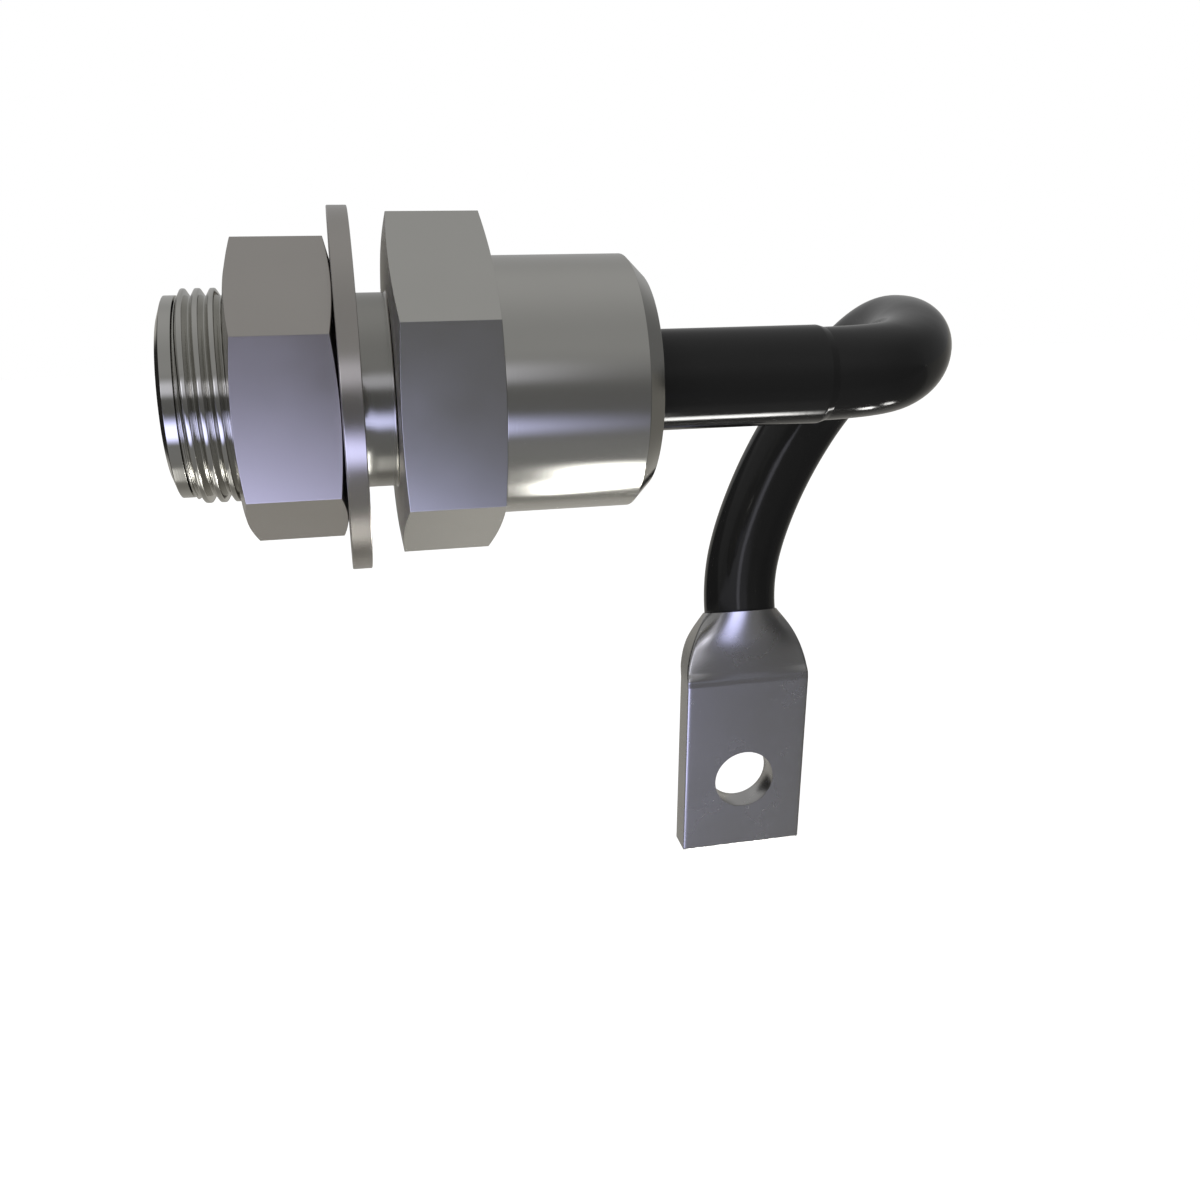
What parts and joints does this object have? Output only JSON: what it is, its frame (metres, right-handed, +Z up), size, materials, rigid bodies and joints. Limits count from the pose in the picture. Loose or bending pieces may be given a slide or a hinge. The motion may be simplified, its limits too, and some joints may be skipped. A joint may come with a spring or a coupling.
{
  "type": "stud-mounted rectifier diode",
  "caption": "Stud-mounted power diode: hexagonal base with threaded stud, nut and washer, round metal housing, black flexible lead and flattened cable lug.",
  "frame": {"origin": "centre of the base's seating face, on the stud's axis, where the base meets its heat sink", "axes": "+X along the stud's axis from the stud towards the housing and the lead, +Z up, a corner of the base's hexagon at +Z; the lead bends towards +Y and the lug hangs towards -Z"},
  "size_m": [0.0966, 0.059, 0.0975],
  "materials": {
    "nickel_plated_copper": "satin nickel plating on copper",
    "zinc_plated_steel": "satin zinc plating on steel",
    "nickel_plated_steel": "satin nickel plating on drawn steel",
    "bare_steel": "machined steel",
    "spring_steel": "blued spring steel",
    "molybdenum": "lapped molybdenum",
    "silicon": "polished silicon",
    "silicone_rubber": "moulded silicone rubber",
    "white_plastic": "machined fluoropolymer",
    "copper": "bare copper",
    "sealing_glass": "dark sealing glass",
    "black_sleeve": "shrunk plastic sleeve",
    "black_rubber": "smooth black cable insulation",
    "tinned_copper": "satin tin plating on copper"
  },
  "bodies": {
    "root": {"stud_base": "nickel_plated_copper", "hex_nut": "zinc_plated_steel", "flat_washer": "zinc_plated_steel", "housing": "nickel_plated_steel", "weld_ring": "bare_steel", "lower_molybdenum_disc": "molybdenum", "silicon_wafer": "silicon", "upper_molybdenum_disc": "molybdenum", "passivation_ring": "silicone_rubber", "centring_ring": "white_plastic", "contact_electrode": "copper", "insulating_bush": "white_plastic", "thrust_washer": "bare_steel", "disc_spring_1": "spring_steel", "disc_spring_2": "spring_steel", "disc_spring_3": "spring_steel", "pressure_ring": "bare_steel", "seal_eyelet": "nickel_plated_steel", "glass_seal": "sealing_glass", "terminal_tube": "copper", "lead_sleeve": "black_sleeve", "lead_insulation": "black_rubber", "lead_conductor": "copper", "cable_lug": "tinned_copper"}
  },
  "joints": []
}
